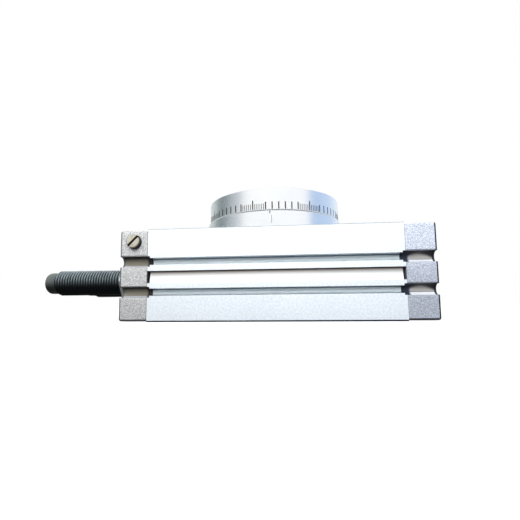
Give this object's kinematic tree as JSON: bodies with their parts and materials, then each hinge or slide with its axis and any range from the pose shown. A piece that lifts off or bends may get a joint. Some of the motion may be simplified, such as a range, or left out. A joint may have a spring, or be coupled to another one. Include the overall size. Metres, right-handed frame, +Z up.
{
  "type": "pneumatic rotary actuator",
  "caption": "Pneumatic rotary table: a round table on a block body, turned by a double rack and pinion, with screw-in shock absorbers as its end stops.",
  "frame": {"origin": "on the bottom face, on the table's axis", "axes": "+X along the length, away from the absorbers; -Y is the front side; +Z up along the table's axis, out of its face"},
  "size_m": [0.2032, 0.085, 0.066],
  "materials": {
    "body_anodised": "clear anodised, fine satin",
    "cover_blasted": "matt blasted",
    "table_turned": "fine turned, anodised",
    "gear_steel": "machined steel",
    "bearing_steel": "ground bearing steel",
    "screw_steel": "dark plated steel",
    "spring_steel": "blued spring steel",
    "absorber_black": "dark nickel plated thread",
    "nut_plated": "bright zinc plated",
    "plug_nickel": "nickel plated brass",
    "rod_chrome": "polished chrome plated",
    "rubber_black": "moulded nitrile rubber",
    "wear_resin": "filled resin",
    "magnet_black": "plastic-bonded magnet",
    "guide_bronze": "sintered bronze"
  },
  "bodies": {
    "housing": {"body": "body_anodised", "left_cover": "cover_blasted", "right_cover": "cover_blasted", "left_cover_bolts": "screw_steel", "right_cover_bolts": "screw_steel", "left_gasket": "rubber_black", "right_gasket": "rubber_black", "front_side_plug": "plug_nickel", "rear_side_plug": "plug_nickel", "plug_washers": "rubber_black", "bearing_retainer": "table_turned", "retainer_screws": "screw_steel", "upper_bearing_outer_race": "bearing_steel", "lower_bearing_outer_race": "bearing_steel", "lower_snap_ring": "spring_steel", "absorber_seals": "rubber_black", "front_lock_nut": "nut_plated", "rear_lock_nut": "nut_plated"},
    "turntable": {"table": "table_turned", "pinion_shaft": "gear_steel", "table_screws": "screw_steel", "table_pin": "gear_steel", "upper_bearing_inner_race": "bearing_steel", "lower_bearing_inner_race": "bearing_steel"},
    "upper_rollers": {"upper_bearing_rollers": "bearing_steel"},
    "lower_rollers": {"lower_bearing_rollers": "bearing_steel", "lower_bearing_cage": "guide_bronze"},
    "front_rack": {"front_piston_rack": "gear_steel", "front_rack_seals": "rubber_black", "front_rack_wear_rings": "wear_resin", "front_rack_magnet": "magnet_black", "front_rack_end_pad": "rubber_black"},
    "rear_rack": {"rear_piston_rack": "gear_steel", "rear_rack_seals": "rubber_black", "rear_rack_wear_rings": "wear_resin", "rear_rack_magnet": "magnet_black", "rear_rack_end_pad": "rubber_black"},
    "front_absorber": {"front_absorber_barrel": "absorber_black", "front_absorber_rod_guide": "guide_bronze"},
    "rear_absorber": {"rear_absorber_barrel": "absorber_black", "rear_absorber_rod_guide": "guide_bronze"},
    "front_rod": {"front_absorber_rod": "rod_chrome"},
    "rear_rod": {"rear_absorber_rod": "rod_chrome"}
  },
  "joints": [
    {"name": "table_turn", "type": "hinge", "parent": "housing", "child": "turntable", "pos_m": [0, 0, 0.046], "axis": [0, 0, 1], "range_deg": [-95, 95]},
    {"name": "front_rack_slide", "type": "slide", "parent": "housing", "child": "front_rack", "axis": [1, 0, 0], "range_m": [-0.01745, 0.01745]},
    {"name": "rear_rack_slide", "type": "slide", "parent": "housing", "child": "rear_rack", "axis": [1, 0, 0], "range_m": [-0.01745, 0.01745]},
    {"name": "upper_roller_turn", "type": "hinge", "parent": "housing", "child": "upper_rollers", "pos_m": [0, 0, 0.041], "axis": [0, 0, 1], "range_deg": [-44.5, 44.5]},
    {"name": "lower_roller_turn", "type": "hinge", "parent": "housing", "child": "lower_rollers", "pos_m": [0, 0, 0.0057], "axis": [0, 0, 1], "range_deg": [-44.5, 44.5]},
    {"name": "front_absorber_adjust", "type": "slide", "parent": "housing", "child": "front_absorber", "axis": [1, 0, 0], "range_m": [0, 0.01]},
    {"name": "rear_absorber_adjust", "type": "slide", "parent": "housing", "child": "rear_absorber", "axis": [-1, 0, 0], "range_m": [-0.01, 0]},
    {"name": "front_rod_stroke", "type": "slide", "parent": "front_absorber", "child": "front_rod", "axis": [-1, 0, 0], "range_m": [0, 0.011], "stiffness_N_per_m": 767},
    {"name": "rear_rod_stroke", "type": "slide", "parent": "rear_absorber", "child": "rear_rod", "axis": [-1, 0, 0], "range_m": [0, 0.011], "stiffness_N_per_m": 767}
  ],
  "couplings": [
    {"joint": "front_rack_slide", "follows": "table_turn", "m_per_rad": 0.0105},
    {"joint": "rear_rack_slide", "follows": "table_turn", "m_per_rad": -0.0105},
    {"joint": "upper_roller_turn", "follows": "table_turn", "ratio": 0.4623},
    {"joint": "lower_roller_turn", "follows": "table_turn", "ratio": 0.4581}
  ]
}
